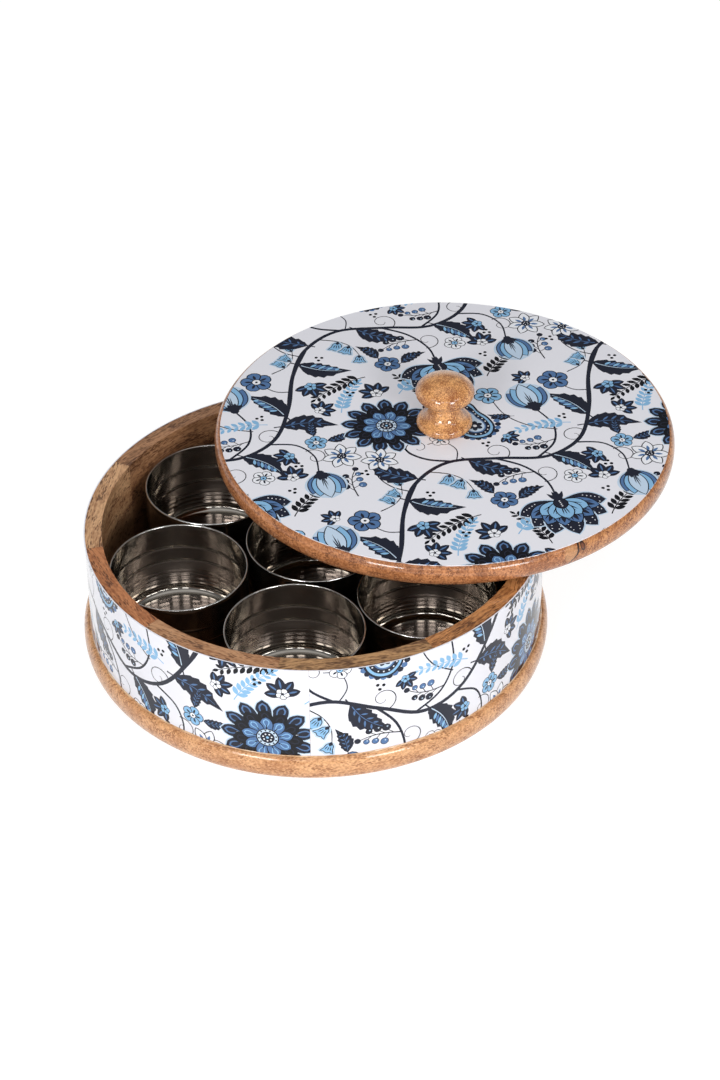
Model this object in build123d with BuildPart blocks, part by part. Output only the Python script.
from build123d import *
import math
import os

# Round wooden spice box with seven loose steel bowls and a lid with a turned knob.
# Lengths are in millimetres and angles in degrees.
# The origin is on the table, on the axis of the box. +Z is up and +Y points to the back.
# The lid is stored open: it lies flat on the rim, slid back and to the right.

# Steel bowls. The box is sized round them.
bowl_radius = 34.5
bowl_height = 42.4
bowl_sheet = 0.6
bowl_corner_radius = 5.0
bowl_bead_radius = 0.45
bowl_bead_proud = 0.2

# How the bowls stand: one in the middle and the others round it, turned until they nearly touch.
ring_bowl_names = ("front", "front_right", "right", "back", "back_left", "left")
centre_bowl_gap = 1.7
neighbour_bowl_gap = 0.7
wall_bowl_gap = 0.9
first_bowl_angle = 261.5

# Base disc, with a half-round edge that stands out past the wall.
base_thickness = 12.8
base_overhang = 3.7
base_edge_depth = 3.1

# Wall, a ring of glued blocks of uneven length, anticlockwise from the first joint.
block_shares = (37, 35, 36, 38, 30, 36, 36, 37, 37, 38)
first_joint_angle = 152.7
wall_thickness = 8.3
rim_above_bowls = 11.6
rim_edge_radius = 1.0

# Printed skin round the wall, which ends at an upright seam, and printed sheet on the lid.
wall_print_thickness = 0.6
seam_angle = -92.0
seam_gap = 0.1
lid_print_thickness = 0.5

# Lid, two boards glued edge to edge, with a disc below that drops into the wall.
lid_board_thickness = 10.75
lid_overhang = 3.3
lid_edge_depth = 2.9
lid_joint_offset = 40.5
lid_joint_direction = 10.5
locating_disc_thickness = 3.5
locating_disc_gap = 1.5
locating_disc_edge_radius = 1.0

# Where the open lid lies, seen from above.
lid_slide_distance = 89.6
lid_slide_direction = 40.7

# Knob, turned from one piece: a foot with a round edge, a hollow that sweeps up to the neck,
# and a flattened ball.
knob_height = 29.4
knob_foot_radius = 12.6
knob_foot_edge_radius = 14.4
knob_foot_edge_height = 2.6
knob_hollow_radius = 9.3
knob_hollow_height = 8.6
knob_neck_radius = 8.5
knob_ball_radius = 15.15
knob_ball_height = 21.2
knob_ball_underside = 7.6
knob_top_flat_radius = 1.2

# Countersunk wood screw that holds the knob from below.
screw_radius = 2.0
screw_head_radius = 4.0
screw_head_angle = 90.0
screw_length = 28.0
screw_slot_width = 0.9
screw_slot_depth = 0.8
screw_fit = 0.05
screw_hole_gap = 0.3
pilot_spare_depth = 1.0

# Radii that follow from the bowls outwards.
ring_radius = 2 * bowl_radius + centre_bowl_gap
wall_inner_radius = ring_radius + bowl_radius + wall_bowl_gap
wall_outer_radius = wall_inner_radius + wall_thickness
skin_outer_radius = wall_outer_radius + wall_print_thickness
base_radius = skin_outer_radius + base_overhang
lid_radius = skin_outer_radius + lid_overhang
lid_print_radius = lid_radius - lid_edge_depth
locating_disc_radius = wall_inner_radius - locating_disc_gap

# Heights that follow from the base upwards.
wall_height = bowl_height + rim_above_bowls
rim_height = base_thickness + wall_height
lid_board_height = rim_height + locating_disc_thickness
lid_print_height = lid_board_height + lid_board_thickness
knob_seat_height = lid_print_height + lid_print_thickness
screw_hole_radius = screw_radius + screw_hole_gap
screw_bite = screw_length - (knob_seat_height - rim_height)

# The ring bowls stand one gap apart, and what is left over lies before the first one.
bowl_pitch = 2 * math.degrees(math.asin((bowl_radius + neighbour_bowl_gap / 2) / ring_radius))

lid_x = lid_slide_distance * math.cos(math.radians(lid_slide_direction))
lid_y = lid_slide_distance * math.sin(math.radians(lid_slide_direction))
lid_axis = Axis((lid_x, lid_y, 0), (0, 0, 1))

os.makedirs("parts", exist_ok=True)


def save(piece, name):
    """Label a finished piece and write it under its name."""
    piece.part.label = name
    export_step(piece.part, "parts/" + name + ".step")


def upright_section(x=0.0, y=0.0, z=0.0, turn=0.0):
    """A plane for half sections: its X runs outwards at the angle turn, and its Y runs up."""
    angle = math.radians(turn)
    outwards = (math.cos(angle), math.sin(angle), 0)
    across = (math.sin(angle), -math.cos(angle), 0)
    return Plane(origin=(x, y, z), x_dir=outwards, z_dir=across)


def round_edged_disc(radius, thickness, edge_depth):
    """Half section of a disc whose edge is half an ellipse, outwards along X and up along Y."""
    flat = radius - edge_depth
    with BuildSketch() as section:
        with BuildLine():
            Polyline((flat, 0), (0, 0), (0, thickness), (flat, thickness))
            EllipticalCenterArc((flat, thickness / 2), edge_depth, thickness / 2, -90, arc_size=180)
        make_face()
    return section.sketch


# Base
with BuildPart() as base_disc:
    with BuildSketch(upright_section()):
        add(round_edged_disc(base_radius, base_thickness, base_edge_depth))
    revolve(axis=Axis.Z)
save(base_disc, "base_disc")


# Wall
def wall_block(name, start, sweep):
    """One glued block of the wall, from its joint at the angle start."""
    with BuildPart() as block:
        with BuildSketch(upright_section(z=base_thickness, turn=start)) as section:
            with Locations((wall_inner_radius, 0)):
                Rectangle(wall_thickness, wall_height, align=(Align.MIN, Align.MIN))
            inner_top = section.vertices().group_by(Axis.Z)[-1].sort_by_distance((0, 0, rim_height))[0]
            fillet(inner_top, rim_edge_radius)
        revolve(axis=Axis.Z, revolution_arc=sweep)
    save(block, name)


joint_angle = first_joint_angle
for number, share in enumerate(block_shares, start=1):
    block_sweep = 360 * share / sum(block_shares)
    wall_block("wall_block_" + str(number).zfill(2), joint_angle, block_sweep)
    joint_angle += block_sweep

with BuildPart() as wall_print:
    seam_half = math.degrees(math.asin(seam_gap / 2 / skin_outer_radius))
    with BuildSketch(upright_section(z=base_thickness, turn=seam_angle + seam_half)):
        with Locations((wall_outer_radius, 0)):
            Rectangle(wall_print_thickness, wall_height, align=(Align.MIN, Align.MIN))
    revolve(axis=Axis.Z, revolution_arc=360 - 2 * seam_half)
save(wall_print, "wall_print")


# Bowls
def bowl(name, x, y):
    """A pressed steel bowl with a flat bottom, a round corner and a rolled rim, at one place."""
    outer = bowl_radius - bowl_bead_proud
    inner = outer - bowl_sheet
    flat = outer - bowl_corner_radius
    bead_height = bowl_height - bowl_bead_radius
    with BuildPart() as piece:
        with BuildSketch(upright_section(x, y, base_thickness)):
            with BuildLine():
                Line((0, 0), (flat, 0))
                CenterArc((flat, bowl_corner_radius), bowl_corner_radius, -90, 90)
                Polyline((outer, bowl_corner_radius), (outer, bead_height),
                         (inner, bead_height), (inner, bowl_corner_radius))
                CenterArc((flat, bowl_corner_radius), bowl_corner_radius - bowl_sheet, -90, 90)
                Polyline((flat, bowl_sheet), (0, bowl_sheet), (0, 0))
            make_face()
            with Locations((bowl_radius - bowl_bead_radius, bead_height)):
                Circle(bowl_bead_radius)
        revolve(axis=Axis((x, y, 0), (0, 0, 1)))
    save(piece, name)


bowl("bowl_centre", 0, 0)
for number, place in enumerate(ring_bowl_names):
    bowl_angle = math.radians(first_bowl_angle + number * bowl_pitch)
    bowl("bowl_" + place, ring_radius * math.cos(bowl_angle), ring_radius * math.sin(bowl_angle))

# Lid
lid_joint = Plane(
    origin=(
        lid_x + lid_joint_offset * math.cos(math.radians(lid_joint_direction)),
        lid_y + lid_joint_offset * math.sin(math.radians(lid_joint_direction)),
        0,
    ),
    z_dir=(math.cos(math.radians(lid_joint_direction)), math.sin(math.radians(lid_joint_direction)), 0),
)


def lid_board(name, side):
    """The part of the lid's round board on one side of the glue joint."""
    with BuildPart() as board:
        with BuildSketch(upright_section(lid_x, lid_y, lid_board_height)):
            add(round_edged_disc(lid_radius, lid_board_thickness, lid_edge_depth))
        revolve(axis=lid_axis)
        with Locations((lid_x, lid_y, lid_print_height)):
            Hole(screw_hole_radius)
        split(bisect_by=lid_joint, keep=side)
    save(board, name)


lid_board("lid_board_wide", Keep.BOTTOM)
lid_board("lid_board_narrow", Keep.TOP)

with BuildPart() as locating_disc:
    with BuildSketch(Plane((lid_x, lid_y, rim_height))):
        Circle(locating_disc_radius)
    extrude(amount=locating_disc_thickness)
    fillet(locating_disc.edges().filter_by(GeomType.CIRCLE).sort_by(Axis.Z)[0], locating_disc_edge_radius)
    with Locations(Plane((lid_x, lid_y, rim_height), z_dir=(0, 0, -1))):
        CounterSinkHole(
            screw_radius + screw_fit,
            screw_head_radius + screw_fit,
            counter_sink_angle=screw_head_angle,
        )
save(locating_disc, "lid_locating_disc")

with BuildPart() as lid_print:
    with BuildSketch(Plane((lid_x, lid_y, lid_print_height))):
        Circle(lid_print_radius)
        Circle(screw_hole_radius, mode=Mode.SUBTRACT)
    extrude(amount=lid_print_thickness)
save(lid_print, "lid_print")

# Knob
with BuildPart() as knob:
    # The ball is widest at its middle. Above and below that its outline is part of an ellipse:
    # the lower one ends at the neck, and the upper one at the small flat left by the lathe.
    ball_above = knob_height - knob_ball_height
    neck_angle = math.degrees(math.acos(knob_neck_radius / knob_ball_radius))
    crown_angle = math.degrees(math.acos(knob_top_flat_radius / knob_ball_radius))
    foot_top = (knob_foot_radius, 2 * knob_foot_edge_height)
    with BuildSketch(upright_section(lid_x, lid_y, knob_seat_height)):
        with BuildLine():
            Line((0, 0), (knob_foot_radius, 0))
            ThreePointArc((knob_foot_radius, 0), (knob_foot_edge_radius, knob_foot_edge_height), foot_top)
            underside = EllipticalCenterArc(
                (0, knob_ball_height), knob_ball_radius, knob_ball_underside, -neck_angle, arc_size=neck_angle
            )
            ThreePointArc(foot_top, (knob_hollow_radius, knob_hollow_height), underside @ 0)
            crown = EllipticalCenterArc(
                (0, knob_ball_height), knob_ball_radius, ball_above, 0, arc_size=crown_angle
            )
            Polyline(crown @ 1, (0, (crown @ 1).Y), (0, 0))
        make_face()
    revolve(axis=lid_axis)
    with Locations(Plane((lid_x, lid_y, knob_seat_height), z_dir=(0, 0, -1))):
        Hole(screw_radius + screw_fit, depth=screw_bite + pilot_spare_depth)
save(knob, "knob")

with BuildPart() as knob_screw:
    head_height = (screw_head_radius - screw_radius) / math.tan(math.radians(screw_head_angle / 2))
    tip_height = screw_radius
    with BuildSketch(upright_section(lid_x, lid_y, rim_height)):
        with BuildLine():
            Polyline(
                (0, 0),
                (screw_head_radius, 0),
                (screw_radius, head_height),
                (screw_radius, screw_length - tip_height),
                (0, screw_length),
                (0, 0),
            )
        make_face()
    revolve(axis=lid_axis)
    with Locations((lid_x, lid_y, rim_height)):
        Box(
            2 * screw_head_radius,
            screw_slot_width,
            screw_slot_depth,
            align=(Align.CENTER, Align.CENTER, Align.MIN),
            mode=Mode.SUBTRACT,
        )
save(knob_screw, "knob_screw")
